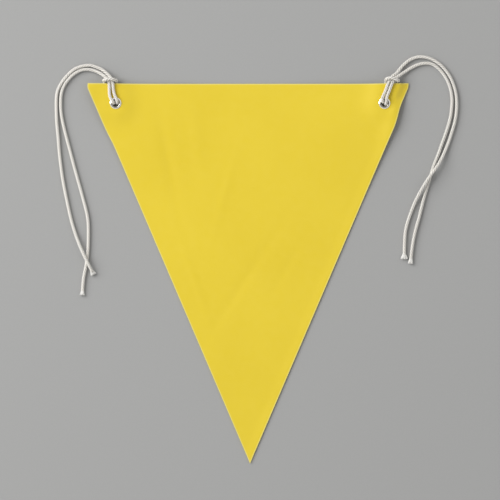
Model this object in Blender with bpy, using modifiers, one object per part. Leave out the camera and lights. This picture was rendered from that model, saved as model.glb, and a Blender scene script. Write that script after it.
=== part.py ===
"""Triangular vinyl pennant with two eyelets and two tie cords, lying flat on a surface.

Units are metres. +Z is up, out of the pennant's face, and +Y points from the tip to the top edge.
The origin is on the surface, under the middle of the sheet.
"""

import math

import bmesh
import bpy
from mathutils import Vector

MM = 0.001

# Sheet
SHEET_WIDTH = 300 * MM
SHEET_LENGTH = 350 * MM
SHEET_THICKNESS = 0.4 * MM
SHEET_CELL = 7.5 * MM
LEVEL_TOLERANCE = 0.001 * MM
LEVEL_ANGLE = math.radians(1)
HOLE_CUTTER_LENGTH = 20 * MM

# Eyelets: a flange and barrel in front, closed over a washer at the back
EYELET_INSET_X = 26.5 * MM  # from the sheet's corner
EYELET_INSET_Y = 19 * MM  # from the sheet's top edge
FLANGE_RADIUS = 5.3 * MM
BORE_RADIUS = 3.25 * MM
EYELET_METAL = 0.3 * MM
FLANGE_CROWN = 0.6 * MM
LIP_REACH = 0.6 * MM
LIP_DEPTH = 0.2 * MM
WASHER_THICKNESS = 0.4 * MM
WASHER_RADIUS = 5.2 * MM
ROUND_STEPS = 32
CROWN_STEPS = 8
LIP_STEPS = 4
SEAM_MERGE = 0.01 * MM

# Cords
CORD_DIAMETER = 3 * MM
CORD_STEP = 7 * MM  # between two points of a free tail's tube
HITCH_STEP = 1.6 * MM  # between two points of the tube that wraps the eyelet and the edge
CORD_SIDES = 2  # bevel resolution
ROUTE_SAMPLES = 16  # between two points of a route
CORD_REST = 0.05 * MM  # the free cord's clearance over the surface

# Clearances
METAL_GAP = 0.15 * MM
CORD_GAP = 0.15 * MM

# Worked out from the sizes above
SHEET_TOP = SHEET_LENGTH / 2
EYELET_X = SHEET_WIDTH / 2 - EYELET_INSET_X
EYELET_Y = SHEET_TOP - EYELET_INSET_Y
BARREL_RADIUS = BORE_RADIUS + EYELET_METAL
SHEET_HOLE_RADIUS = BARREL_RADIUS + METAL_GAP
WASHER_TOP = -SHEET_THICKNESS / 2 - METAL_GAP
WASHER_BOTTOM = WASHER_TOP - WASHER_THICKNESS
FLANGE_BASE = SHEET_THICKNESS / 2 + METAL_GAP + EYELET_METAL / 2
LIP_START = WASHER_BOTTOM - METAL_GAP
LIP_BOTTOM = LIP_START - LIP_DEPTH - EYELET_METAL / 2

# The two top corners stand on the cord's back legs: level round each hitch, then down to the surface.
CORNER_LIFT = CORD_REST + CORD_DIAMETER + CORD_GAP - LIP_BOTTOM - SHEET_THICKNESS / 2
LIFT_CENTRE_X = EYELET_X + 3 * MM
LIFT_CENTRE_Y = EYELET_Y + 9 * MM
LIFT_LEVEL_RADIUS = 20 * MM
LIFT_END_RADIUS = 62 * MM

YELLOW_VINYL = ((0.80, 0.60, 0.05), 0.45, 0.0)
NICKEL = ((0.72, 0.70, 0.66), 0.18, 1.0)
COTTON = ((0.82, 0.80, 0.73), 0.9, 0.0)

# Cord routes, in millimetres. X and Y are measured from the eyelet's centre, Z from the surface.
# Each hitch runs from the top of one front strand down through the eyelet, up behind the sheet,
# over the top edge and across both front strands, and back the same way to the other strand.
LEFT_HITCH = [
    (-7.9, 27.1, 4.2), (-4.9, 24.1, 5.5),
    (-3.8, 22.4, 5.95), (-2.95, 20.0, 6.25), (-2.4, 16.8, 6.3), (-2.1, 13.5, 6.3),
    (-1.5, 9.8, 6.45), (-0.5, 6.6, 6.95), (0.6, 4.2, 7.35), (1.35, 2.3, 7.1),
    (1.65, 0.8, 6.0), (1.6, 0.3, 4.6), (1.6, 0.4, 3.3), (1.75, 1.0, 2.25),
    (2.0, 2.4, 1.65), (2.1, 4.5, 1.55), (2.0, 9.0, 1.55), (1.6, 14.0, 1.55),
    (1.0, 18.0, 1.75), (0.7, 20.2, 2.9), (0.6, 20.9, 4.9), (0.15, 21.3, 6.9),
    (-1.4, 21.8, 8.6), (-3.9, 22.2, 9.2), (-6.1, 22.2, 9.25), (-8.5, 21.6, 8.9),
    (-10.4, 21.0, 7.4), (-10.75, 20.8, 5.1), (-10.5, 20.3, 2.95), (-9.6, 18.0, 1.75),
    (-8.3, 14.0, 1.55), (-6.2, 9.0, 1.55), (-3.8, 4.2, 1.55), (-2.6, 2.0, 1.65),
    (-1.85, 0.8, 2.25), (-1.6, 0.1, 3.3), (-1.6, 0.0, 4.6), (-1.75, 0.5, 6.0),
    (-2.6, 1.6, 7.1), (-3.8, 3.3, 7.35), (-5.0, 5.7, 6.95), (-5.6, 8.9, 6.45),
    (-5.7, 12.5, 6.3), (-5.75, 16.5, 6.3), (-6.3, 20.0, 6.2), (-7.9, 22.4, 5.85),
    (-9.5, 24.0, 5.3), (-12.0, 26.0, 4.2),
]
RIGHT_HITCH = [
    (10.7, 27.2, 4.2), (7.5, 24.8, 5.5),
    (5.8, 22.7, 5.95), (4.3, 20.1, 6.25), (3.0, 17.2, 6.3), (1.8, 13.8, 6.3),
    (0.6, 10.5, 6.45), (-0.8, 7.6, 6.95), (-1.9, 5.0, 7.4), (-2.0, 2.9, 7.2),
    (-1.4, 1.3, 6.0), (-1.3, 1.0, 4.6), (-1.3, 1.05, 3.3), (-1.4, 1.7, 2.25),
    (-1.6, 3.2, 1.65), (-1.5, 5.5, 1.55), (-0.8, 10.0, 1.55), (0.3, 14.5, 1.55),
    (1.3, 18.0, 1.75), (1.6, 20.2, 2.9), (1.4, 21.1, 5.0), (1.9, 22.1, 7.1),
    (3.7, 22.9, 8.6), (5.8, 23.2, 9.2), (8.0, 22.9, 9.2), (10.1, 22.1, 8.85),
    (12.1, 21.0, 7.8), (12.7, 20.8, 5.2), (12.4, 20.3, 2.95), (11.3, 18.1, 1.75),
    (9.8, 14.5, 1.55), (7.7, 10.0, 1.55), (5.0, 5.5, 1.55), (3.3, 2.6, 1.58),
    (1.9, 0.4, 2.2), (1.35, -0.7, 3.3), (1.3, -0.9, 4.6), (1.45, -0.3, 6.0),
    (1.8, 1.9, 7.1), (2.1, 4.2, 7.35), (2.5, 6.9, 6.95), (3.9, 10.0, 6.45),
    (5.4, 14.0, 6.3), (6.6, 17.2, 6.3), (7.9, 20.0, 6.2), (9.5, 22.2, 5.75),
    (11.2, 23.8, 5.2), (13.9, 25.5, 4.2),
]
LEFT_TAIL_OUTER = [
    (-10.0, 29.05, 3.3), (-12.6, 30.9, 2.45), (-15.1, 32.2, 1.9),
    (-19.6, 33.9, 1.55), (-24.4, 34.8, 1.55), (-31.1, 33.9, 1.55), (-37.8, 31.2, 1.55),
    (-43.9, 26.0, 1.55), (-49.4, 19.2, 1.55), (-53.2, 11.6, 1.55), (-54.4, 4.2, 1.55),
    (-54.5, -6.0, 1.55), (-54.0, -18.0, 1.55), (-52.7, -32.0, 1.55), (-51.5, -47.0, 1.55),
    (-48.8, -68.0, 1.55), (-45.0, -88.0, 1.55), (-40.8, -107.0, 1.6), (-36.9, -120.0, 2.4),
    (-32.4, -132.0, 3.7), (-29.0, -139.5, 4.75), (-25.6, -146.5, 4.9), (-22.4, -152.8, 3.5),
    (-20.4, -157.0, 1.8),
]
LEFT_TAIL_INNER = [
    (-14.2, 27.4, 3.35), (-17.0, 28.9, 2.45), (-20.6, 30.2, 1.75),
    (-26.0, 31.1, 1.55), (-32.0, 30.2, 1.55), (-37.9, 27.0, 1.55), (-42.6, 22.7, 1.55),
    (-46.9, 16.9, 1.55), (-49.5, 10.4, 1.55), (-50.4, 3.1, 1.55), (-50.2, -7.0, 1.55),
    (-48.6, -17.0, 1.55), (-45.5, -30.0, 1.55), (-42.3, -42.0, 1.55), (-37.0, -62.0, 1.55),
    (-31.8, -80.5, 1.55), (-27.4, -97.0, 1.55), (-25.4, -107.5, 1.55), (-25.0, -121.0, 1.55),
    (-25.6, -138.0, 1.55), (-27.3, -150.0, 1.55), (-29.4, -161.0, 1.55), (-30.7, -175.8, 1.55),
]
RIGHT_TAIL_OUTER = [
    (12.5, 29.3, 3.35), (14.9, 32.3, 2.3), (17.6, 35.2, 1.7),
    (23.1, 39.7, 1.55), (29.7, 42.3, 1.55), (36.1, 42.5, 1.55), (42.1, 41.1, 1.55),
    (47.9, 38.0, 1.55), (53.4, 33.6, 1.55), (58.8, 26.8, 1.55), (62.6, 19.5, 1.55),
    (65.5, 10.1, 1.55), (66.5, 0.7, 1.55), (66.1, -8.6, 1.55), (64.6, -17.5, 1.55),
    (61.6, -28.0, 1.55), (58.1, -38.0, 1.7), (53.4, -49.0, 3.1), (48.4, -58.0, 4.7),
    (41.9, -67.0, 4.9), (36.0, -76.0, 4.5), (30.5, -86.0, 2.9), (26.4, -95.0, 1.7),
    (21.9, -107.5, 1.55), (19.3, -118.0, 1.55), (18.5, -129.0, 1.55), (18.2, -141.8, 1.55),
]
RIGHT_TAIL_INNER = [
    (16.2, 27.1, 3.2), (19.7, 29.4, 2.2), (23.4, 31.8, 1.65),
    (30.2, 35.2, 1.55), (37.6, 36.8, 1.55), (44.3, 35.7, 1.55), (50.0, 31.6, 1.55),
    (54.6, 26.2, 1.55), (58.4, 19.6, 1.55), (60.9, 12.3, 1.55), (62.1, 4.2, 1.55),
    (61.8, -4.0, 1.55), (60.7, -12.6, 1.55), (58.5, -21.0, 1.55), (55.7, -29.5, 1.55),
    (52.4, -38.5, 1.55), (49.4, -47.0, 1.55), (46.6, -54.0, 1.55), (43.2, -64.0, 1.55),
    (40.6, -73.0, 1.55), (37.8, -82.0, 1.55), (35.3, -91.0, 1.55), (31.9, -105.0, 1.55),
    (28.3, -118.0, 1.55), (25.8, -131.0, 1.55), (24.0, -146.0, 1.55),
]


def clear_scene():
    for old in list(bpy.data.objects):
        bpy.data.objects.remove(old)


def new_collection(name):
    made = bpy.data.collections.new(name)
    bpy.context.scene.collection.children.link(made)
    return made


def new_material(name, look):
    color, roughness, metallic = look
    made = bpy.data.materials.new(name)
    made.use_nodes = True
    shader = made.node_tree.nodes["Principled BSDF"]
    shader.inputs["Base Color"].default_value = (*color, 1.0)
    shader.inputs["Roughness"].default_value = roughness
    shader.inputs["Metallic"].default_value = metallic
    return made


def new_mesh_object(name, bm, collection, look):
    mesh = bpy.data.meshes.new(name)
    bm.to_mesh(mesh)
    bm.free()
    made = bpy.data.objects.new(name, mesh)
    collection.objects.link(made)
    made.data.materials.append(new_material(name, look))
    return made


def corner_lift(x, y):
    """Height of the sheet's underside over the surface."""
    away = math.hypot(abs(x) - LIFT_CENTRE_X, y - LIFT_CENTRE_Y)
    share = (LIFT_END_RADIUS - away) / (LIFT_END_RADIUS - LIFT_LEVEL_RADIUS)
    share = min(max(share, 0.0), 1.0)
    return CORNER_LIFT * share * share * (3 - 2 * share)


def cut_side(bm, side):
    """Cuts the sheet along its slanted edge from the tip to a top corner."""
    tip = Vector((0, -SHEET_TOP, 0))
    outward = Vector((side * SHEET_LENGTH, -SHEET_WIDTH / 2, 0))
    everything = bm.verts[:] + bm.edges[:] + bm.faces[:]
    bmesh.ops.bisect_plane(bm, geom=everything, plane_co=tip, plane_no=outward, clear_outer=True)


def merge_level_faces(bm):
    """Joins the grid's cells wherever the sheet is level."""
    low = [v for v in bm.verts if abs(v.co.z) < LEVEL_TOLERANCE]
    high = [v for v in bm.verts if abs(v.co.z - CORNER_LIFT) < LEVEL_TOLERANCE]
    level = set(low + high)
    edges = [e for e in bm.edges if e.verts[0] in level and e.verts[1] in level]
    bmesh.ops.dissolve_limit(bm, angle_limit=LEVEL_ANGLE, verts=low + high, edges=edges)


def make_sheet(parts, cutters):
    """A triangle of sheet material, lifted at its top corners, with a hole for each eyelet."""
    bm = bmesh.new()
    columns = round(SHEET_WIDTH / SHEET_CELL)
    rows = round(SHEET_LENGTH / SHEET_CELL)
    bmesh.ops.create_grid(bm, x_segments=columns, y_segments=rows, size=0.5)
    bmesh.ops.scale(bm, vec=(SHEET_WIDTH, SHEET_LENGTH, 1), verts=bm.verts)
    for side in (-1, 1):
        cut_side(bm, side)
    for vertex in bm.verts:
        vertex.co.z = corner_lift(vertex.co.x, vertex.co.y)
    merge_level_faces(bm)
    sheet = new_mesh_object("pennant_sheet", bm, parts, YELLOW_VINYL)
    thick = sheet.modifiers.new("thickness", "SOLIDIFY")
    thick.thickness = SHEET_THICKNESS
    thick.offset = 1
    for side, name in ((-1, "left"), (1, "right")):
        hole = sheet.modifiers.new(f"{name} eyelet hole", "BOOLEAN")
        hole.operation = "DIFFERENCE"
        hole.object = make_hole_cutter(f"{name}_hole_cutter", side, cutters)
    return sheet


def make_hole_cutter(name, side, cutters):
    bm = bmesh.new()
    bmesh.ops.create_cone(
        bm, cap_ends=True, segments=ROUND_STEPS, depth=HOLE_CUTTER_LENGTH,
        radius1=SHEET_HOLE_RADIUS, radius2=SHEET_HOLE_RADIUS,
    )
    cutter = new_mesh_object(name, bm, cutters, YELLOW_VINYL)
    cutter.location = (side * EYELET_X, EYELET_Y, CORNER_LIFT)
    cutter.hide_render = True
    cutter.display_type = "WIRE"
    return cutter


def turned(name, profile, side, parts, look):
    """A profile of (radius, height) points turned round the eyelet's axis, its heights from mid-sheet."""
    bm = bmesh.new()
    points = [bm.verts.new((radius, 0, height)) for radius, height in profile]
    for first, second in zip(points, points[1:]):
        bm.edges.new((first, second))
    made = new_mesh_object(name, bm, parts, look)
    made.location = (side * EYELET_X, EYELET_Y, CORNER_LIFT + SHEET_THICKNESS / 2)
    screw = made.modifiers.new("turn", "SCREW")
    screw.steps = ROUND_STEPS
    screw.render_steps = ROUND_STEPS
    screw.use_merge_vertices = True
    screw.merge_threshold = SEAM_MERGE
    screw.use_smooth_shade = True
    return made


def make_eyelet(name, side, parts):
    """Domed flange, barrel and rolled lip as one shell of even thickness."""
    barrel = BORE_RADIUS + EYELET_METAL / 2
    rim = FLANGE_RADIUS - EYELET_METAL / 2
    crown_radius = (rim + barrel) / 2
    half_width = (rim - barrel) / 2
    profile = []
    for step in range(CROWN_STEPS + 1):
        angle = math.pi * step / CROWN_STEPS
        radius = crown_radius + half_width * math.cos(angle)
        profile.append((radius, FLANGE_BASE + FLANGE_CROWN * math.sin(angle)))
    for step in range(LIP_STEPS + 1):
        angle = math.pi / 2 * step / LIP_STEPS
        radius = barrel + LIP_REACH * (1 - math.cos(angle))
        profile.append((radius, LIP_START - LIP_DEPTH * math.sin(angle)))
    eyelet = turned(name, profile, side, parts, NICKEL)
    metal = eyelet.modifiers.new("metal", "SOLIDIFY")
    metal.thickness = EYELET_METAL
    metal.offset = 0
    return eyelet


def make_washer(name, side, parts):
    """Flat ring that the lip is rolled over."""
    inner = BARREL_RADIUS + METAL_GAP
    profile = [
        (inner, WASHER_TOP), (WASHER_RADIUS, WASHER_TOP),
        (WASHER_RADIUS, WASHER_BOTTOM), (inner, WASHER_BOTTOM), (inner, WASHER_TOP),
    ]
    return turned(name, profile, side, parts, NICKEL)


def smooth_route(route, side, step):
    """Points about step apart on a smooth curve through a route, in metres."""
    places = [Vector((side * EYELET_X + x * MM, EYELET_Y + y * MM, z * MM)) for x, y, z in route]
    ends = [2 * places[0] - places[1], *places, 2 * places[-1] - places[-2]]
    fine = []
    for before, start, end, after in zip(ends, ends[1:], ends[2:], ends[3:]):
        for sample in range(ROUTE_SAMPLES):
            t = sample / ROUTE_SAMPLES
            fine.append(
                start
                + 0.5 * t * (end - before)
                + t * t * (before - 2.5 * start + 2 * end - 0.5 * after)
                + t ** 3 * (1.5 * (start - end) + 0.5 * (after - before))
            )
    fine.append(places[-1])
    return evenly_spaced(fine, step)


def evenly_spaced(points, step):
    lengths = [0.0]
    for first, second in zip(points, points[1:]):
        lengths.append(lengths[-1] + (second - first).length)
    count = max(2, round(lengths[-1] / step))
    spaced = []
    index = 0
    for number in range(count + 1):
        target = lengths[-1] * number / count
        while index < len(points) - 2 and lengths[index + 1] < target:
            index += 1
        share = (target - lengths[index]) / (lengths[index + 1] - lengths[index])
        spaced.append(points[index].lerp(points[index + 1], share))
    return spaced


def make_cord(name, route, side, step, parts):
    """A round tube with closed ends along a route."""
    points = smooth_route(route, side, step)
    curve = bpy.data.curves.new(name, "CURVE")
    curve.dimensions = "3D"
    curve.bevel_depth = CORD_DIAMETER / 2
    curve.bevel_resolution = CORD_SIDES
    curve.use_fill_caps = True
    spline = curve.splines.new("POLY")
    spline.points.add(len(points) - 1)
    for place, point in zip(spline.points, points):
        place.co = (*point, 1.0)
    made = bpy.data.objects.new(name, curve)
    parts.objects.link(made)
    curve.materials.append(new_material(name, COTTON))
    return made


def make_side(name, side, hitch, tails, parts):
    """One corner's eyelet, washer and tie cord."""
    make_eyelet(f"{name}_eyelet", side, parts)
    make_washer(f"{name}_eyelet_washer", side, parts)
    make_cord(f"{name}_cord_hitch", hitch, side, HITCH_STEP, parts)
    for tail, route in tails.items():
        make_cord(f"{name}_cord_tail_{tail}", route, side, CORD_STEP, parts)


def main():
    clear_scene()
    parts = new_collection("triangular_pennant")
    cutters = new_collection("cutters")
    make_sheet(parts, cutters)
    make_side("left", -1, LEFT_HITCH, {"outer": LEFT_TAIL_OUTER, "inner": LEFT_TAIL_INNER}, parts)
    make_side("right", 1, RIGHT_HITCH, {"outer": RIGHT_TAIL_OUTER, "inner": RIGHT_TAIL_INNER}, parts)


main()
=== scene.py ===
"""Looks for the triangular vinyl pennant: a sheet, two nickel eyelets and two twisted cotton tie cords."""

import math

import bmesh
import bpy
import numpy as np
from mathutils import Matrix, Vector


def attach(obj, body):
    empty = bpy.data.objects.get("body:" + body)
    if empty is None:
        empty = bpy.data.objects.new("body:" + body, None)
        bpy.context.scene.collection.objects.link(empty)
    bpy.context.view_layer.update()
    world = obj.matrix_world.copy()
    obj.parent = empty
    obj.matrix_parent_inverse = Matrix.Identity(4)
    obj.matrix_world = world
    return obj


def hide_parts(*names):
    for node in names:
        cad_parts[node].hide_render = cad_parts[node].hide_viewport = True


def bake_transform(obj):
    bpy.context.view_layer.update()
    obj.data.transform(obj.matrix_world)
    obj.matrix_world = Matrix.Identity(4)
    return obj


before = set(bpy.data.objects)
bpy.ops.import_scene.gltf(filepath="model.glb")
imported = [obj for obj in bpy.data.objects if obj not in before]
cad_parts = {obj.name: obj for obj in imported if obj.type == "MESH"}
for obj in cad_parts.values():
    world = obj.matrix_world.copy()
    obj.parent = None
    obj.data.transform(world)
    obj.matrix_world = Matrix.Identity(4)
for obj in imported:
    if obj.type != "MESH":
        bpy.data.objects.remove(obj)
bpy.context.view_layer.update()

MM = 0.001

# Camera: straight above, with a long lens, so that the view is nearly parallel
VIEW_WIDTH = 0.4595
VIEW_CENTRE = (0.0, 0.0211)
CAMERA_HEIGHT = 8.0
CAMERA_REACH = 50.0
SENSOR = 36.0

# Stage: grey paper, one square light at the upper left, and a sky that is darkest overhead
PAPER_REACH = 4.0
PAPER_HEIGHT = -0.2 * MM
KEY_PLACE = (-2.4, 1.33, 1.98)
KEY_SIZE = 2.4
KEY_POWER = 102.0
SKY_HEIGHTS = (0.80, 0.93)  # the sky darkens between these heights of its unit sphere
SKY_STRENGTHS = (0.69, 0.05)

# Cords: the CAD source's diameter, here with three strands twisted to the left
CORD_DIAMETER = 3 * MM
CORD_LAY = 8.2 * MM
RING_STEP = 0.42 * MM
RING_POINTS = 30
ROUTE_SAMPLES = 16
STRANDS = 3
STRAND_RADIUS = CORD_DIAMETER / (2 + 4 / math.sqrt(3))
STRAND_CENTRE = CORD_DIAMETER / 2 - STRAND_RADIUS
GROOVE_SHARE = 0.60  # how much of the groove between bare strands is left once they are packed

# Cut ends: fibres that spread into a flat brush. Places along the cord are measured back from its end.
BRUSH_ROOT = 4.2 * MM  # where the fibres start
ROPE_STOP = 0.7 * BRUSH_ROOT  # where the twisted cord stops, inside the fibres
BRUSH_FIBRES = 230
BRUSH_INSET = 0.35 * MM  # how far inside the cord's outline the outermost fibres start
BRUSH_OPENING = 1.15  # power by which the brush opens along its length
BRUSH_FLATTENING = 0.25
BRUSH_FLOOR_GAP = 0.08 * MM
BRUSH_SPREADS = {
    ("left", "outer"): 5.7 * MM, ("left", "inner"): 4.6 * MM,
    ("right", "outer"): 6.7 * MM, ("right", "inner"): 4.9 * MM,
}
BRUSH_REACHES = {"left": 4.8 * MM, "right": 5.7 * MM}
FIBRE_RADIUS = 0.165 * MM
FIBRE_ROOT_SHARE = 1.05  # of the fibre's radius, at its root
FIBRE_TAPER = 0.35
FIBRE_SHORTEST = 0.84  # share of the brush's reach
FIBRE_LENGTH_RANGE = 0.20
FIBRE_WANDER = 0.5 * MM
FIBRE_RINGS = 7
FIBRE_SIDES = 6
FIBRE_PALING = 2.2  # a fibre's painted light, which makes it paler, is full from 1 / 2.2 of its length on
FIBRE_YARN_WIDTH = 0.05  # share of the yarn pattern that goes round one fibre
FIBRE_YARN_STEP = 0.37  # shift of the yarn pattern from one fibre to the next
GOLDEN_ANGLE = 2.399963

# Eyelets: the CAD source's sizes, here with a bevelled flange
EYELET_X = 123.5 * MM
EYELET_Y = 156 * MM
FLANGE_RADIUS = 5.3 * MM
BORE_RADIUS = 3.25 * MM
EYELET_METAL = 0.3 * MM
METAL_GAP = 0.15 * MM
LIP_REACH = 0.6 * MM
LIP_DEPTH = 0.2 * MM
WASHER_RADIUS = 5.2 * MM
WASHER_THICKNESS = 0.4 * MM
WASHER_ROUNDING = 0.1 * MM
HOLE_RADIUS = BORE_RADIUS + EYELET_METAL + METAL_GAP
CREST_SHARE = 0.44  # how far the flange's crest lies from the bore towards the rim
CREST_HEIGHT = 0.44 * MM
MOUTH_RADIUS = 0.38 * MM  # of the rounded edge between the flange's flat crest and the barrel
BEVEL_STEPS = 12
CREST_STEPS = 4
MOUTH_STEPS = 8
LIP_STEPS = 12
END_STEPS = 6
ROUNDING_STEPS = 5
ROUNDING_LIMIT = 0.45  # share of a side that one rounded corner may take
TURN_STEPS = 96

# Sheet, as in the CAD source
SHEET_WIDTH = 300 * MM
SHEET_LENGTH = 350 * MM
SHEET_THICKNESS = 0.4 * MM
SHEET_TOP = SHEET_LENGTH / 2
SHEET_ROWS = 150
SHARP_ANGLE = math.radians(40)
CUTTER_LENGTH = 20 * MM

# The sheet stands up round each hitch, and falls from there
CORNER_LIFT = 4.25 * MM
LIFT_AXES = {-1: (4.4 * MM, 20 * MM), 1: (6.3 * MM, 20 * MM)}  # from the eyelet, outwards and up the sheet
LIFT_HALF_WIDTHS = (5.6 * MM, 7.8 * MM)  # level round the flange, and under the cord at the top edge
LIFT_NEAR_SHARE = 0.5  # of the fall, close to the hitch
LIFT_NEAR_REACH = 11.5 * MM
LIFT_DROOP_REACH = 6.5 * MM
LIFT_DROOP_SHARE = 0.25  # added to the near share where a corner droops
DROOP_OUTWARD = (-5 * MM, 10 * MM)  # from the lift's axis, where the droop sets in and is full
DROOP_UP = (-2 * MM, 8 * MM)  # from the eyelet, likewise
LIFT_FAR_END = 100 * MM
LOOSE_LIFT = 0.33 * MM  # the sheet lies loosely, so that its shallow valleys stay off the floor

# How far the top edge sags down the sheet: near the corners, and further in the middle
TOP_SHIFT = 0.7 * MM
MIDDLE_SHIFT = 0.5 * MM
MIDDLE_HALF_WIDTHS = (95 * MM, 145 * MM)
SHIFT_START = 100 * MM

# The right slanted edge stands off the floor below this stretch of Y
EDGE_CURL = 0.35 * MM
CURL_WIDTH = 10 * MM
CURL_ENDS = (100 * MM, 130 * MM)

# Shift of each slanted edge along X, the stretch of Y over which it sets in, and the further shift at the top
PULLS = {-1: (-1.1 * MM, 115 * MM, 135 * MM, 2.1 * MM), 1: (-2.9 * MM, 133 * MM, 158 * MM, -1.5 * MM)}
PULL_WIDTH = 17 * MM
PULL_TOP = 171 * MM

# Soft buckles in the sheet, in millimetres: centre, half length along, half width across, turn in degrees,
# and height
BUCKLES = [
    (-75.5, 106, 44, 5.5, 101, -0.32), (-23.7, 71, 34, 3.5, 74, 0.16), (-6, -9, 57, 4.5, 57, -0.22),
    (33, 3, 26, 3.5, 61, -0.13), (-50, -9, 41, 3.5, 109, 0.16), (-48, 120, 34, 6, 98, 0.2),
    (133, 138, 20, 8.5, 67, 1.5), (129, 118, 22, 8, 67, 0.4), (152, 171, 13, 8.5, 67, -0.7),
    (-150, 168, 20, 11, 66, 1.3),
]
BUCKLE_MARGINS = (0.8 * MM, 7 * MM)  # outside the flange, where the buckles set in and are full

# Cord routes, in millimetres, as in the CAD source. X and Y are measured from the eyelet's centre.
LEFT_HITCH = [
    (-7.9, 27.1, 4.2), (-4.9, 24.1, 5.5),
    (-3.8, 22.4, 5.95), (-2.95, 20.0, 6.25), (-2.4, 16.8, 6.3), (-2.1, 13.5, 6.3),
    (-1.5, 9.8, 6.45), (-0.5, 6.6, 6.95), (0.6, 4.2, 7.35), (1.35, 2.3, 7.1),
    (1.65, 0.8, 6.0), (1.6, 0.3, 4.6), (1.6, 0.4, 3.3), (1.75, 1.0, 2.25),
    (2.0, 2.4, 1.65), (2.1, 4.5, 1.55), (2.0, 9.0, 1.55), (1.6, 14.0, 1.55),
    (1.0, 18.0, 1.75), (0.7, 20.2, 2.9), (0.6, 20.9, 4.9), (0.15, 21.3, 6.9),
    (-1.4, 21.8, 8.6), (-3.9, 22.2, 9.2), (-6.1, 22.2, 9.25), (-8.5, 21.6, 8.9),
    (-10.4, 21.0, 7.4), (-10.75, 20.8, 5.1), (-10.5, 20.3, 2.95), (-9.6, 18.0, 1.75),
    (-8.3, 14.0, 1.55), (-6.2, 9.0, 1.55), (-3.8, 4.2, 1.55), (-2.6, 2.0, 1.65),
    (-1.85, 0.8, 2.25), (-1.6, 0.1, 3.3), (-1.6, 0.0, 4.6), (-1.75, 0.5, 6.0),
    (-2.6, 1.6, 7.1), (-3.8, 3.3, 7.35), (-5.0, 5.7, 6.95), (-5.6, 8.9, 6.45),
    (-5.7, 12.5, 6.3), (-5.75, 16.5, 6.3), (-6.3, 20.0, 6.2), (-7.9, 22.4, 5.85),
    (-9.5, 24.0, 5.3), (-12.0, 26.0, 4.2),
]
RIGHT_HITCH = [
    (10.7, 27.2, 4.2), (7.5, 24.8, 5.5),
    (5.8, 22.7, 5.95), (4.3, 20.1, 6.25), (3.0, 17.2, 6.3), (1.8, 13.8, 6.3),
    (0.6, 10.5, 6.45), (-0.8, 7.6, 6.95), (-1.9, 5.0, 7.4), (-2.0, 2.9, 7.2),
    (-1.4, 1.3, 6.0), (-1.3, 1.0, 4.6), (-1.3, 1.05, 3.3), (-1.4, 1.7, 2.25),
    (-1.6, 3.2, 1.65), (-1.5, 5.5, 1.55), (-0.8, 10.0, 1.55), (0.3, 14.5, 1.55),
    (1.3, 18.0, 1.75), (1.6, 20.2, 2.9), (1.4, 21.1, 5.0), (1.9, 22.1, 7.1),
    (3.7, 22.9, 8.6), (5.8, 23.2, 9.2), (8.0, 22.9, 9.2), (10.1, 22.1, 8.85),
    (12.1, 21.0, 7.8), (12.7, 20.8, 5.2), (12.4, 20.3, 2.95), (11.3, 18.1, 1.75),
    (9.8, 14.5, 1.55), (7.7, 10.0, 1.55), (5.0, 5.5, 1.55), (3.3, 2.6, 1.58),
    (1.9, 0.4, 2.2), (1.35, -0.7, 3.3), (1.3, -0.9, 4.6), (1.45, -0.3, 6.0),
    (1.8, 1.9, 7.1), (2.1, 4.2, 7.35), (2.5, 6.9, 6.95), (3.9, 10.0, 6.45),
    (5.4, 14.0, 6.3), (6.6, 17.2, 6.3), (7.9, 20.0, 6.2), (9.5, 22.2, 5.75),
    (11.2, 23.8, 5.2), (13.9, 25.5, 4.2),
]
LEFT_TAIL_OUTER = [
    (-10.0, 29.05, 3.3), (-12.6, 30.9, 2.45), (-15.1, 32.2, 1.9),
    (-19.6, 33.9, 1.55), (-24.4, 34.8, 1.55), (-31.1, 33.9, 1.55), (-37.8, 31.2, 1.55),
    (-43.9, 26.0, 1.55), (-49.4, 19.2, 1.55), (-53.2, 11.6, 1.55), (-54.4, 4.2, 1.55),
    (-54.5, -6.0, 1.55), (-54.0, -18.0, 1.55), (-52.7, -32.0, 1.55), (-51.5, -47.0, 1.55),
    (-48.8, -68.0, 1.55), (-45.0, -88.0, 1.55), (-40.8, -107.0, 1.6), (-36.9, -120.0, 2.4),
    (-32.4, -132.0, 3.7), (-29.0, -139.5, 4.75), (-25.6, -146.5, 4.9), (-22.4, -152.8, 3.5),
    (-20.4, -157.0, 1.8),
]
LEFT_TAIL_INNER = [
    (-14.2, 27.4, 3.35), (-17.0, 28.9, 2.45), (-20.6, 30.2, 1.75),
    (-26.0, 31.1, 1.55), (-32.0, 30.2, 1.55), (-37.9, 27.0, 1.55), (-42.6, 22.7, 1.55),
    (-46.9, 16.9, 1.55), (-49.5, 10.4, 1.55), (-50.4, 3.1, 1.55), (-50.2, -7.0, 1.55),
    (-48.6, -17.0, 1.55), (-45.5, -30.0, 1.55), (-42.3, -42.0, 1.55), (-37.0, -62.0, 1.55),
    (-31.8, -80.5, 1.55), (-27.4, -97.0, 1.55), (-25.4, -107.5, 1.55), (-25.0, -121.0, 1.55),
    (-25.6, -138.0, 1.55), (-27.3, -150.0, 1.55), (-29.4, -161.0, 1.55), (-30.7, -175.8, 1.55),
]
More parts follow.
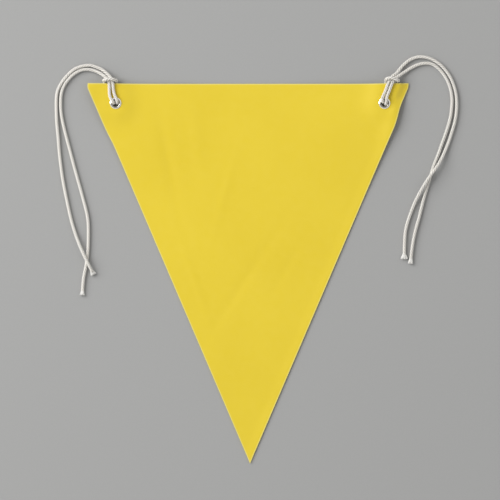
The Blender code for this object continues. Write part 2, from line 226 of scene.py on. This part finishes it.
RIGHT_TAIL_OUTER = [
    (12.5, 29.3, 3.35), (14.9, 32.3, 2.3), (17.6, 35.2, 1.7),
    (23.1, 39.7, 1.55), (29.7, 42.3, 1.55), (36.1, 42.5, 1.55), (42.1, 41.1, 1.55),
    (47.9, 38.0, 1.55), (53.4, 33.6, 1.55), (58.8, 26.8, 1.55), (62.6, 19.5, 1.55),
    (65.5, 10.1, 1.55), (66.5, 0.7, 1.55), (66.1, -8.6, 1.55), (64.6, -17.5, 1.55),
    (61.6, -28.0, 1.55), (58.1, -38.0, 1.7), (53.4, -49.0, 3.1), (48.4, -58.0, 4.7),
    (41.9, -67.0, 4.9), (36.0, -76.0, 4.5), (30.5, -86.0, 2.9), (26.4, -95.0, 1.7),
    (21.9, -107.5, 1.55), (19.3, -118.0, 1.55), (18.5, -129.0, 1.55), (18.2, -141.8, 1.55),
]
RIGHT_TAIL_INNER = [
    (16.2, 27.1, 3.2), (19.7, 29.4, 2.2), (23.4, 31.8, 1.65),
    (30.2, 35.2, 1.55), (37.6, 36.8, 1.55), (44.3, 35.7, 1.55), (50.0, 31.6, 1.55),
    (54.6, 26.2, 1.55), (58.4, 19.6, 1.55), (60.9, 12.3, 1.55), (62.1, 4.2, 1.55),
    (61.8, -4.0, 1.55), (60.7, -12.6, 1.55), (58.5, -21.0, 1.55), (55.7, -29.5, 1.55),
    (52.4, -38.5, 1.55), (49.4, -47.0, 1.55), (46.6, -54.0, 1.55), (43.2, -64.0, 1.55),
    (40.6, -73.0, 1.55), (37.8, -82.0, 1.55), (35.3, -91.0, 1.55), (31.9, -105.0, 1.55),
    (28.3, -118.0, 1.55), (25.8, -131.0, 1.55), (24.0, -146.0, 1.55),
]

# Places in each hitch, inside the eyelet. The loop and the two front strands overlap there by one span.
LOOP_START = 11
STRAND_END = 12
STRAND_START = 35
LOOP_END = 36

random = np.random.default_rng(7)


def add_object(name, data):
    made = bpy.data.objects.new(name, data)
    bpy.context.scene.collection.objects.link(made)
    return made


def unit(vectors):
    return vectors / np.linalg.norm(vectors, axis=-1, keepdims=True)


def smoothstep(value, low, high):
    share = np.clip((value - low) / (high - low), 0, 1)
    return share * share * (3 - 2 * share)


# ---------------------------------------------------------------- materials

def new_material(name, color, roughness, metallic=0.0):
    made = bpy.data.materials.new(name)
    made.use_nodes = True
    shader = made.node_tree.nodes["Principled BSDF"]
    shader.inputs["Base Color"].default_value = (*color, 1.0)
    shader.inputs["Roughness"].default_value = roughness
    shader.inputs["Metallic"].default_value = metallic
    return made, made.node_tree, shader


def add(tree, kind, **settings):
    node = tree.nodes.new(kind)
    for name, value in settings.items():
        if name.startswith("in_"):
            node.inputs[name[3:].replace("_", " ")].default_value = value
        else:
            setattr(node, name, value)
    return node


def link(tree, source, output, target, socket):
    tree.links.new(source.outputs[output], target.inputs[socket])


def math_node(tree, operation, first, second=None):
    node = add(tree, "ShaderNodeMath", operation=operation)
    for index, value in enumerate((first, second)):
        if value is None:
            continue
        if isinstance(value, (int, float)):
            node.inputs[index].default_value = value
        else:
            tree.links.new(value, node.inputs[index])
    return node.outputs[0]


def noise(tree, coordinates, scale, detail, stretch=None, roughness=0.5):
    node = add(tree, "ShaderNodeTexNoise", in_Scale=scale, in_Detail=detail, in_Roughness=roughness)
    if stretch is None:
        tree.links.new(coordinates, node.inputs["Vector"])
        return node.outputs["Fac"]
    mapping = add(tree, "ShaderNodeMapping", in_Scale=stretch)
    tree.links.new(coordinates, mapping.inputs["Vector"])
    tree.links.new(mapping.outputs["Vector"], node.inputs["Vector"])
    return node.outputs["Fac"]


def mixed_color(tree, share, first, second):
    node = add(tree, "ShaderNodeMix", data_type="RGBA")
    tree.links.new(share, node.inputs["Factor"])
    for socket, value in ((node.inputs[6], first), (node.inputs[7], second)):
        if isinstance(value, tuple):
            socket.default_value = (*value, 1.0)
        else:
            tree.links.new(value, socket)
    return node.outputs[2]


def mapped(tree, value, low, high, to_low, to_high):
    node = add(tree, "ShaderNodeMapRange")
    tree.links.new(value, node.inputs["Value"])
    for name, number in (("From Min", low), ("From Max", high), ("To Min", to_low), ("To Max", to_high)):
        node.inputs[name].default_value = number
    return node.outputs["Result"]


def bump(tree, shader, height, distance, strength, before=None):
    node = add(tree, "ShaderNodeBump", in_Strength=strength, in_Distance=distance)
    tree.links.new(height, node.inputs["Height"])
    if before is not None:
        tree.links.new(before, node.inputs["Normal"])
    tree.links.new(node.outputs["Normal"], shader.inputs["Normal"])
    return node.outputs["Normal"]


def vinyl_material():
    """Warm yellow sheet with a faint grain, soft gloss, and a painted highlight along its cut edges."""
    material, tree, shader = new_material("yellow_vinyl", (0.80, 0.60, 0.05), 0.42)
    flat = add(tree, "ShaderNodeUVMap", uv_map="flat")
    split = add(tree, "ShaderNodeSeparateXYZ")
    link(tree, flat, "UV", split, "Vector")
    across, along = split.outputs["X"], split.outputs["Y"]
    half = math_node(tree, "MULTIPLY", along, 0.5)
    aside = math_node(tree, "ABSOLUTE", math_node(tree, "SUBTRACT", across, 0.5))
    slanted = math_node(tree, "MULTIPLY", math_node(tree, "SUBTRACT", half, aside), SHEET_WIDTH)
    top = math_node(tree, "MULTIPLY", math_node(tree, "SUBTRACT", 1.0, along), SHEET_LENGTH)
    # painted highlight: the cut edges are painted paler in a band up to 1.3 mm wide, where they catch the
    # light
    edge = mapped(tree, math_node(tree, "MINIMUM", slanted, top), 0.5 * MM, 1.3 * MM, 1.0, 0.0)
    place = add(tree, "ShaderNodeTexCoord").outputs["Object"]
    clouds = noise(tree, place, 14.0, 3.0)
    tone = mapped(tree, clouds, 0.3, 0.7, 0.0, 1.0)
    body = mixed_color(tree, tone, (0.818, 0.618, 0.038), (0.846, 0.645, 0.044))
    color = mixed_color(tree, math_node(tree, "MULTIPLY", edge, 0.70), body, (0.88, 0.78, 0.22))
    tree.links.new(color, shader.inputs["Base Color"])
    rough = mapped(tree, noise(tree, place, 160.0, 4.0), 0.3, 0.7, 0.38, 0.48)
    tree.links.new(rough, shader.inputs["Roughness"])
    shader.inputs["Specular IOR Level"].default_value = 0.45
    grain = noise(tree, place, 2600.0, 2.0)
    bump(tree, shader, grain, 0.02 * MM, 0.35)
    return material


def nickel_material():
    """Bright plated metal with fine polishing marks."""
    material, tree, shader = new_material("nickel_plate", (0.78, 0.75, 0.70), 0.16, 1.0)
    place = add(tree, "ShaderNodeTexCoord").outputs["Object"]
    rough = mapped(tree, noise(tree, place, 900.0, 4.0), 0.3, 0.7, 0.07, 0.15)
    tree.links.new(rough, shader.inputs["Roughness"])
    tone = mapped(tree, noise(tree, place, 350.0, 3.0), 0.35, 0.7, 0.0, 1.0)
    color = mixed_color(tree, tone, (0.98, 0.95, 0.87), (0.93, 0.90, 0.82))
    tree.links.new(color, shader.inputs["Base Color"])
    bump(tree, shader, noise(tree, place, 3000.0, 3.0), 0.01 * MM, 0.3)
    return material


def cotton_material():
    """Undyed twisted cotton: fine yarn lines, shade painted between the strands, and cut fibres painted paler
    as painted light against their self-shadowing.

    The groove attribute is 1 in the grooves and 0 on the strands, and falls to -1 along the cut fibres.
    """
    material, tree, shader = new_material("undyed_cotton", (0.83, 0.80, 0.73), 0.92)
    lay = add(tree, "ShaderNodeUVMap", uv_map="rope").outputs["UV"]
    groove = add(tree, "ShaderNodeAttribute", attribute_name="groove").outputs["Fac"]
    yarns = noise(tree, lay, 1.0, 4.0, stretch=(46.0, 420.0, 1.0), roughness=0.6)
    fuzz = noise(tree, add(tree, "ShaderNodeTexCoord").outputs["Object"], 2400.0, 4.0)
    tone = mapped(tree, yarns, 0.3, 0.7, 0.0, 1.0)
    light = mixed_color(tree, tone, (0.735, 0.705, 0.65), (0.85, 0.83, 0.79))
    depth = mapped(tree, groove, 0.25, 1.0, 0.0, 0.85)
    color = mixed_color(tree, depth, light, (0.42, 0.38, 0.30))
    # painted light: the cut fibres are painted paler, which makes up for the shade they cast on each other
    cut = mapped(tree, groove, -1.0, 0.0, 0.9, 0.0)
    color = mixed_color(tree, cut, color, (0.93, 0.915, 0.88))
    tree.links.new(color, shader.inputs["Base Color"])
    shader.inputs["Specular IOR Level"].default_value = 0.2
    shader.inputs["Sheen Weight"].default_value = 0.25
    shader.inputs["Sheen Roughness"].default_value = 0.6
    first = bump(tree, shader, yarns, 0.12 * MM, 0.6)
    bump(tree, shader, fuzz, 0.06 * MM, 0.5, before=first)
    return material


def paper_material():
    """Matt grey paper with a faint mottle."""
    material, tree, shader = new_material("grey_paper", (0.40, 0.40, 0.395), 0.9)
    place = add(tree, "ShaderNodeTexCoord").outputs["Object"]
    tone = mapped(tree, noise(tree, place, 900.0, 3.0), 0.3, 0.7, 0.0, 1.0)
    color = mixed_color(tree, tone, (0.392, 0.392, 0.386), (0.404, 0.404, 0.398))
    tree.links.new(color, shader.inputs["Base Color"])
    shader.inputs["Specular IOR Level"].default_value = 0.1
    return material


# ---------------------------------------------------------------- camera

def make_camera():
    data = bpy.data.cameras.new("camera")
    data.sensor_width = SENSOR
    data.lens = SENSOR * CAMERA_HEIGHT / VIEW_WIDTH
    data.clip_end = CAMERA_REACH
    camera = add_object("camera", data)
    camera.location = (*VIEW_CENTRE, CAMERA_HEIGHT)
    bpy.context.scene.camera = camera


# ---------------------------------------------------------------- cords

def smooth_path(route, side, step):
    """Points about step apart on a smooth curve through a route, in metres."""
    places = np.array(route, float) * MM + (side * EYELET_X, EYELET_Y, 0.0)
    ends = np.vstack([2 * places[0] - places[1], places, 2 * places[-1] - places[-2]])
    fine = []
    for before, start, end, after in zip(ends, ends[1:], ends[2:], ends[3:]):
        for sample in range(ROUTE_SAMPLES):
            t = sample / ROUTE_SAMPLES
            fine.append(
                start
                + 0.5 * t * (end - before)
                + t * t * (before - 2.5 * start + 2 * end - 0.5 * after)
                + t ** 3 * (1.5 * (start - end) + 0.5 * (after - before))
            )
    fine = np.array([*fine, places[-1]])
    along = np.concatenate([[0], np.cumsum(np.linalg.norm(np.diff(fine, axis=0), axis=1))])
    count = max(2, round(along[-1] / step))
    even = np.linspace(0, along[-1], count + 1)
    return np.stack([np.interp(even, along, fine[:, k]) for k in range(3)], axis=1), even


def frames_along(points):
    """Tangent and two normals at each point, which turn no more than the path does."""
    tangents = unit(np.gradient(points, axis=0))
    normal = np.cross(tangents[0], (0.0, 0.0, 1.0))
    if np.linalg.norm(normal) < 0.1:
        normal = np.cross(tangents[0], (0.0, 1.0, 0.0))
    normals = []
    for tangent in tangents:
        normal = normal - tangent * (normal @ tangent)
        normal = normal / np.linalg.norm(normal)
        normals.append(normal)
    normals = np.array(normals)
    return tangents, normals, np.cross(tangents, normals)


def rope_outline(angles):
    """Radius of the twisted cord's outline at each angle: round strands, pressed together."""
    from_lobe = (angles + math.pi / STRANDS) % (2 * math.pi / STRANDS) - math.pi / STRANDS
    inside = np.maximum(STRAND_RADIUS ** 2 - (STRAND_CENTRE * np.sin(from_lobe)) ** 2, 0)
    bare = STRAND_CENTRE * np.cos(from_lobe) + np.sqrt(inside)
    return CORD_DIAMETER / 2 - GROOVE_SHARE * (CORD_DIAMETER / 2 - bare)


class MeshParts:
    """Collects closed tubes, with their rope coordinates and groove values, for one mesh."""

    def __init__(self):
        self.points = []
        self.faces = []
        self.coordinates = []
        self.grooves = []
        self.count = 0

    def tube(self, rings, coordinates, grooves):
        """rings is (rings, points round, 3). Both ends are closed with a middle point."""
        total, sides, _ = rings.shape
        first = self.count
        self.points.append(rings.reshape(-1, 3))
        self.coordinates.append(coordinates.reshape(-1, 2))
        self.grooves.append(grooves.reshape(-1))
        for ring in range(total - 1):
            start = first + ring * sides
            for side in range(sides):
                after = (side + 1) % sides
                self.faces.append((start + side, start + after, start + sides + after, start + sides + side))
        self.count += total * sides
        for ring, turned in ((0, True), (total - 1, False)):
            middle = rings[ring].mean(axis=0)
            self.points.append(middle[None])
            self.coordinates.append(coordinates[ring].mean(axis=0)[None])
            # the closed end's middle point takes the full groove value, so the painted groove shade darkens
            # each end
            self.grooves.append(np.ones(1))
            start = first + ring * sides
            for side in range(sides):
                after = (side + 1) % sides
                pair = (start + after, start + side) if turned else (start + side, start + after)
                self.faces.append((*pair, self.count))
            self.count += 1

    def object(self, name, material):
        mesh = bpy.data.meshes.new(name)
        mesh.from_pydata(np.vstack(self.points).tolist(), [], self.faces)
        mesh.polygons.foreach_set("use_smooth", [True] * len(mesh.polygons))
        grooves = mesh.attributes.new("groove", "FLOAT", "POINT")
        grooves.data.foreach_set("value", np.concatenate(self.grooves).astype(np.float32))
        layer = mesh.uv_layers.new(name="rope")
        corners = np.empty(len(mesh.loops), np.int32)
        mesh.loops.foreach_get("vertex_index", corners)
        layer.data.foreach_set("uv", np.vstack(self.coordinates)[corners].astype(np.float32).ravel())
        mesh.materials.append(material)
        return add_object(name, mesh)


def rings_round(points, normals, others, radii, angles):
    """One ring of points round each point of a path. Radii and angles are (rings, points round)."""
    return (
        points[:, None, :]
        + (radii * np.cos(angles))[:, :, None] * normals[:, None, :]
        + (radii * np.sin(angles))[:, :, None] * others[:, None, :]
    )


def rope(parts, points, along):
    """The three strands' outline, swept along the path and turned to the left as it goes."""
    _, normals, others = frames_along(points)
    angles = np.arange(RING_POINTS) * 2 * math.pi / RING_POINTS
    radii = rope_outline(angles)
    turn = -2 * math.pi * along / CORD_LAY
    spin = angles[None, :] + turn[:, None]
    depths = CORD_DIAMETER / 2 - radii
    grooves = np.broadcast_to(depths / depths.max(), spin.shape)
    across = np.broadcast_to(angles / (2 * math.pi), spin.shape)
    lengthwise = np.broadcast_to(along[:, None], spin.shape)
    rings = rings_round(points, normals, others, radii[None, :], spin)
    parts.tube(rings, np.stack([across, lengthwise], axis=-1), grooves)


def brush(parts, points, spread, reach):
    """The cut end, where the fibres spread into a flat brush that rests on the surface."""
    tangents, _, _ = frames_along(points)
    tangent = unit(tangents[-1] * (1, 1, 0))
    aside = np.array([-tangent[1], tangent[0], 0.0])
    up = np.array([0.0, 0.0, 1.0])
    root = CORD_DIAMETER / 2 - BRUSH_INSET
    steps = np.linspace(0, 1, FIBRE_RINGS)
    opened = steps ** BRUSH_OPENING
    radii = FIBRE_RADIUS * (FIBRE_ROOT_SHARE - FIBRE_TAPER * opened)
    angles = np.arange(FIBRE_SIDES) * 2 * math.pi / FIBRE_SIDES
    shape = (FIBRE_RINGS, FIBRE_SIDES)
    # painted light along each fibre, carried as groove values below zero
    paleness = np.broadcast_to(-np.minimum(steps * FIBRE_PALING, 1)[:, None], shape)
    for fibre in range(BRUSH_FIBRES):
        place = math.sqrt((fibre + 0.5) / BRUSH_FIBRES)
        angle = fibre * GOLDEN_ANGLE
        out_x, out_z = place * math.cos(angle), place * math.sin(angle)
        length = reach * (FIBRE_SHORTEST + FIBRE_LENGTH_RANGE * random.random())
        wander = (random.random(2) - 0.5) * FIBRE_WANDER
        side_offset = out_x * (root + (spread / 2 - root - FIBRE_RADIUS) * opened) + wander[0] * opened
        height = out_z * root * (1 - BRUSH_FLATTENING * opened) + wander[1] * opened
        centre = (
            points[-1]
            + tangent * (steps * length - BRUSH_ROOT)[:, None]
            + aside * side_offset[:, None]
            + up * height[:, None]
        )
        centre[:, 2] = np.maximum(centre[:, 2], radii + BRUSH_FLOOR_GAP)
        _, normals, others = frames_along(centre)
        across = np.broadcast_to(angles * FIBRE_YARN_WIDTH + fibre * FIBRE_YARN_STEP, shape)
        lengthwise = np.broadcast_to((steps * length)[:, None], shape)
        rings = rings_round(centre, normals, others, radii[:, None], angles[None, :])
        parts.tube(rings, np.stack([across, lengthwise], axis=-1), paleness)


def make_tail(name, route, side, spread, reach, cotton):
    """One front strand and the free tail that it becomes, from inside the eyelet to the cut end."""
    points, along = smooth_path(route, side, RING_STEP)
    body = along <= along[-1] - ROPE_STOP
    parts = MeshParts()
    rope(parts, points[body], along[body])
    brush(parts, points, spread, reach)
    return parts.object(name, cotton), points


def make_loop(name, side, hitch, cotton):
    """The cord's middle, which runs behind the sheet and makes the bar of the hitch in front."""
    points, along = smooth_path(hitch[LOOP_START:LOOP_END + 1], side, RING_STEP)
    parts = MeshParts()
    rope(parts, points, along)
    loop = parts.object(f"{name}_cord_loop", cotton)
    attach(loop, "pennant")
    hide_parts(f"{name}_cord_hitch")
    return loop


def make_cord(name, side, hitch, outer, inner, cotton):
    """One whole tie cord: the loop round the edge, and the two strands with their tails."""
    loop = make_loop(name, side, hitch, cotton)
    routes = {"outer": hitch[STRAND_END::-1] + outer, "inner": hitch[STRAND_START:] + inner}
    for place, route in routes.items():
        made, path = make_tail(
            f"{name}_cord_{place}", route, side, BRUSH_SPREADS[name, place], BRUSH_REACHES[name], cotton
        )
        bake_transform(made)
        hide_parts(f"{name}_cord_tail_{place}")


# ---------------------------------------------------------------- sheet

def half_width(y):
    """Half the flat sheet's width at each height."""
    return SHEET_WIDTH / 2 * (y + SHEET_TOP) / SHEET_LENGTH


def corner_lift(x, y):
    """Height of the sheet: level round each hitch, steep beside it, and then gentle."""
    heights = []
    for side, (axis_x, axis_y) in LIFT_AXES.items():
        outward, up = side * x - EYELET_X, y - EYELET_Y
        if side < 0:
            outward = np.minimum(outward, axis_x)  # the left corner stays up, and the right one droops
        share = np.clip((outward * axis_x + up * axis_y) / (axis_x ** 2 + axis_y ** 2), 0, 1)
        half = LIFT_HALF_WIDTHS[0] + share * (LIFT_HALF_WIDTHS[1] - LIFT_HALF_WIDTHS[0])
        away = np.hypot(outward - share * axis_x, up - share * axis_y) - half
        beyond = smoothstep(outward - share * axis_x, *DROOP_OUTWARD) * smoothstep(up, *DROOP_UP)
        reach = LIFT_NEAR_REACH + beyond * (LIFT_DROOP_REACH - LIFT_NEAR_REACH)
        near = LIFT_NEAR_SHARE + LIFT_DROOP_SHARE * beyond
        fallen = (
            near * (1 - np.exp(-(np.maximum(away, 0) / reach) ** 2))
            + (1 - near) * smoothstep(away, 0, LIFT_FAR_END)
        )
        heights.append(CORNER_LIFT * (1 - fallen))
    return np.maximum(*heights)


def buckles(x, y):
    """Height of the soft buckles, which leave the sheet level round the eyelets."""
    total = np.zeros_like(x)
    for centre_x, centre_y, length, width, turn, height in BUCKLES:
        angle = math.radians(turn)
        from_x, from_y = x / MM - centre_x, y / MM - centre_y
        along = (from_x * math.cos(angle) + from_y * math.sin(angle)) / length
        across = (-from_x * math.sin(angle) + from_y * math.cos(angle)) / width
        total += height * MM * np.exp(-(along ** 2 + across ** 2))
    clear = np.minimum(np.hypot(x - EYELET_X, y - EYELET_Y), np.hypot(x + EYELET_X, y - EYELET_Y))
    start, full = BUCKLE_MARGINS
    return total * smoothstep(clear, FLANGE_RADIUS + start, FLANGE_RADIUS + full)


def edge_curl(x, y):
    """The slanted edge away from the light stands a little off the floor along its length."""
    full, start = CURL_ENDS
    return EDGE_CURL * smoothstep(x - half_width(y), -CURL_WIDTH, 0.0) * smoothstep(-y, -start, -full)


def pulled_in(x, y):
    """How far the cords' pull and the curl of the corners move the slanted edges, along X."""
    near_edge = smoothstep(np.abs(x) - half_width(y), -PULL_WIDTH, 0.0)
    top = smoothstep(y, PULL_TOP, SHEET_TOP)
    shifts = {
        side: shift * smoothstep(y, start, end) + top_shift * top
        for side, (shift, start, end, top_shift) in PULLS.items()
    }
    return near_edge * np.where(x > 0, shifts[1], shifts[-1])


def flat_triangle():
    """Points and faces of the sheet as it is cut, in rows of fine cells from the tip to the top edge."""
    points = []
    first = [0]
    for row in range(SHEET_ROWS + 1):
        y = -SHEET_TOP + SHEET_LENGTH * row / SHEET_ROWS
        for column in range(row + 1):
            points.append((SHEET_WIDTH * (column - row / 2) / SHEET_ROWS, y))
        first.append(len(points))
    faces = []
    for row in range(SHEET_ROWS):
        for column in range(row + 1):
            below, above = first[row] + column, first[row + 1] + column
            faces.append((below, above + 1, above))
            if column < row:
                faces.append((below, below + 1, above + 1))
    return np.array(points), faces


def as_it_lies(x, y):
    """The flat sheet's points, bent as the sheet lies."""
    inner, outer = MIDDLE_HALF_WIDTHS
    shift = TOP_SHIFT + MIDDLE_SHIFT * smoothstep(-np.abs(x), -outer, -inner)
    lower = y - shift * smoothstep(y, SHIFT_START, SHEET_TOP)
    lift = corner_lift(x, y)
    height = lift + LOOSE_LIFT * (1 - lift / CORNER_LIFT) + edge_curl(x, y) + buckles(x, y)
    return np.stack([x + pulled_in(x, y), lower, height], axis=1)


def thicken_and_cut(sheet):
    """Gives the sheet its thickness and its two eyelet holes."""
    thick = sheet.modifiers.new("thickness", "SOLIDIFY")
    thick.thickness = SHEET_THICKNESS
    thick.offset = 1
    cutters = [hole_cutter(side) for side in (-1, 1)]
    for cutter in cutters:
        hole = sheet.modifiers.new("hole", "BOOLEAN")
        hole.operation = "DIFFERENCE"
        hole.object = cutter
    graph = bpy.context.evaluated_depsgraph_get()
    final = bpy.data.meshes.new_from_object(sheet.evaluated_get(graph))
    sheet.modifiers.clear()
    sheet.data = final
    for cutter in cutters:
        bpy.data.objects.remove(cutter)
    smooth_with_sharp_rims(final)


def make_sheet(vinyl):
    """The triangle, with its flat place in the UV map, so that the cut edges can be found."""
    flat, faces = flat_triangle()
    x, y = flat.T
    mesh = bpy.data.meshes.new("pennant")
    mesh.from_pydata(as_it_lies(x, y).tolist(), [], faces)
    layer = mesh.uv_layers.new(name="flat")
    corners = np.empty(len(mesh.loops), np.int32)
    mesh.loops.foreach_get("vertex_index", corners)
    share = np.stack([x / SHEET_WIDTH + 0.5, (y + SHEET_TOP) / SHEET_LENGTH], axis=1)
    layer.data.foreach_set("uv", share[corners].astype(np.float32).ravel())
    mesh.materials.append(vinyl)
    sheet = add_object("pennant", mesh)
    thicken_and_cut(sheet)
    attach(sheet, "pennant")
    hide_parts("pennant_sheet")


def hole_cutter(side):
    bm = bmesh.new()
    bmesh.ops.create_cone(
        bm, cap_ends=True, segments=TURN_STEPS, radius1=HOLE_RADIUS, radius2=HOLE_RADIUS, depth=CUTTER_LENGTH
    )
    mesh = bpy.data.meshes.new("cutter")
    bm.to_mesh(mesh)
    bm.free()
    cutter = add_object("cutter", mesh)
    cutter.location = (side * EYELET_X, EYELET_Y, CORNER_LIFT)
    return cutter


def smooth_with_sharp_rims(mesh):
    bm = bmesh.new()
    bm.from_mesh(mesh)
    for face in bm.faces:
        face.smooth = True
    for edge in bm.edges:
        if len(edge.link_faces) == 2 and edge.calc_face_angle() > SHARP_ANGLE:
            edge.smooth = False
    bm.to_mesh(mesh)
    bm.free()


# ---------------------------------------------------------------- eyelets

def rounded(points, radius):
    """A closed profile with its corners rounded."""
    made = []
    count = len(points)
    for index in range(count):
        before, corner, after = (Vector(points[(index + k) % count]) for k in (-1, 0, 1))
        sides = min((before - corner).length, (after - corner).length)
        reach = min(radius, sides * ROUNDING_LIMIT)
        start = corner + (before - corner).normalized() * reach
        end = corner + (after - corner).normalized() * reach
        for step in range(ROUNDING_STEPS + 1):
            t = step / ROUNDING_STEPS
            made.append(tuple(start.lerp(corner, t).lerp(corner.lerp(end, t), t)))
    return made


def turned(name, node, profile, side, material):
    """A closed profile of (radius, height) points turned round the eyelet's axis, in place of a CAD node."""
    centre = np.array([side * EYELET_X, EYELET_Y, CORNER_LIFT + SHEET_THICKNESS / 2])
    angles = np.arange(TURN_STEPS) * 2 * math.pi / TURN_STEPS
    radius, height = np.array(profile).T
    points = np.stack(
        [
            np.outer(np.cos(angles), radius),
            np.outer(np.sin(angles), radius),
            np.broadcast_to(height, (TURN_STEPS, len(height))),
        ],
        axis=-1,
    ) + centre
    sides = len(profile)
    faces = []
    for turn in range(TURN_STEPS):
        start, after = turn * sides, (turn + 1) % TURN_STEPS * sides
        for point in range(sides):
            following = (point + 1) % sides
            faces.append((start + point, after + point, after + following, start + following))
    mesh = bpy.data.meshes.new(name)
    mesh.from_pydata(points.reshape(-1, 3).tolist(), [], faces)
    bm = bmesh.new()
    bm.from_mesh(mesh)
    bmesh.ops.recalc_face_normals(bm, faces=bm.faces)
    bm.to_mesh(mesh)
    bm.free()
    mesh.polygons.foreach_set("use_smooth", [True] * len(mesh.polygons))
    mesh.materials.append(material)
    made = add_object(name, mesh)
    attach(made, "pennant")
    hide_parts(node)


def shell(middle, thickness):
    """A closed profile of even thickness round a line of points, with round ends."""
    line = np.array(middle)
    tangents = unit(np.gradient(line, axis=0))
    normals = np.stack([-tangents[:, 1], tangents[:, 0]], axis=1)
    half = thickness / 2
    outline = list(line + normals * half)
    for step in range(1, END_STEPS):
        angle = math.pi * step / END_STEPS
        outline.append(line[-1] + half * (normals[-1] * math.cos(angle) + tangents[-1] * math.sin(angle)))
    outline += list((line - normals * half)[::-1])
    for step in range(1, END_STEPS):
        angle = math.pi * step / END_STEPS
        outline.append(line[0] + half * (-normals[0] * math.cos(angle) - tangents[0] * math.sin(angle)))
    return [tuple(point) for point in outline]


def eyelet_line(lip_start):
    """The metal's middle line, as (radius, height): bevel, flat crest, rounded mouth, barrel and lip."""
    barrel = BORE_RADIUS + EYELET_METAL / 2
    rim = FLANGE_RADIUS - EYELET_METAL / 2
    crown = barrel + CREST_SHARE * (rim - barrel)
    base = SHEET_THICKNESS / 2 + METAL_GAP + EYELET_METAL / 2
    crest = base + CREST_HEIGHT
    line = []
    for step in range(BEVEL_STEPS + 1):
        share = step / BEVEL_STEPS
        line.append((rim + (crown - rim) * share, base + CREST_HEIGHT * share))
    for step in range(1, CREST_STEPS + 1):
        line.append((crown + (barrel + MOUTH_RADIUS - crown) * step / CREST_STEPS, crest))
    for step in range(1, MOUTH_STEPS + 1):
        angle = math.pi / 2 * step / MOUTH_STEPS
        inward, down = 1 - math.sin(angle), 1 - math.cos(angle)
        line.append((barrel + MOUTH_RADIUS * inward, crest - MOUTH_RADIUS * down))
    for step in range(LIP_STEPS + 1):
        angle = math.pi / 2 * step / LIP_STEPS
        line.append((barrel + LIP_REACH * (1 - math.cos(angle)), lip_start - LIP_DEPTH * math.sin(angle)))
    return line


def make_eyelet(name, side, nickel):
    """Bevelled flange and barrel in front, and the lip that is rolled over the washer behind."""
    top = -SHEET_THICKNESS / 2 - METAL_GAP
    bottom = top - WASHER_THICKNESS
    line = eyelet_line(bottom - METAL_GAP)
    turned(f"{name}_grommet", f"{name}_eyelet", shell(line, EYELET_METAL), side, nickel)
    outline = [(HOLE_RADIUS, top), (WASHER_RADIUS, top), (WASHER_RADIUS, bottom), (HOLE_RADIUS, bottom)]
    turned(f"{name}_washer", f"{name}_eyelet_washer", rounded(outline, WASHER_ROUNDING), side, nickel)


# ---------------------------------------------------------------- stage

def make_stage():
    mesh = bpy.data.meshes.new("floor")
    corners = [
        (x * PAPER_REACH, y * PAPER_REACH, PAPER_HEIGHT) for x, y in ((-1, -1), (1, -1), (1, 1), (-1, 1))
    ]
    mesh.from_pydata(corners, [], [(0, 1, 2, 3)])
    mesh.materials.append(paper_material())
    add_object("floor", mesh)


def make_key_light():
    data = bpy.data.lights.new("key", "AREA")
    data.shape = "SQUARE"
    data.size = KEY_SIZE
    data.energy = KEY_POWER
    lamp = add_object("key", data)
    lamp.location = KEY_PLACE
    lamp.rotation_euler = (-Vector(KEY_PLACE)).to_track_quat("-Z", "Y").to_euler()


def make_sky():
    world = bpy.data.worlds.new("studio")
    world.use_nodes = True
    tree = world.node_tree
    background = tree.nodes["Background"]
    background.inputs["Color"].default_value = (1.0, 1.0, 1.0, 1.0)
    split = add(tree, "ShaderNodeSeparateXYZ")
    link(tree, add(tree, "ShaderNodeTexCoord"), "Generated", split, "Vector")
    strength = mapped(tree, split.outputs["Z"], *SKY_HEIGHTS, *SKY_STRENGTHS)
    tree.links.new(strength, background.inputs["Strength"])
    bpy.context.scene.world = world


# ---------------------------------------------------------------- making

make_camera()
cotton = cotton_material()
make_cord("left", -1, LEFT_HITCH, LEFT_TAIL_OUTER, LEFT_TAIL_INNER, cotton)
make_cord("right", 1, RIGHT_HITCH, RIGHT_TAIL_OUTER, RIGHT_TAIL_INNER, cotton)
make_sheet(vinyl_material())
nickel = nickel_material()
make_eyelet("left", -1, nickel)
make_eyelet("right", 1, nickel)
make_stage()
make_key_light()
make_sky()
bpy.context.scene.view_settings.view_transform = "Standard"
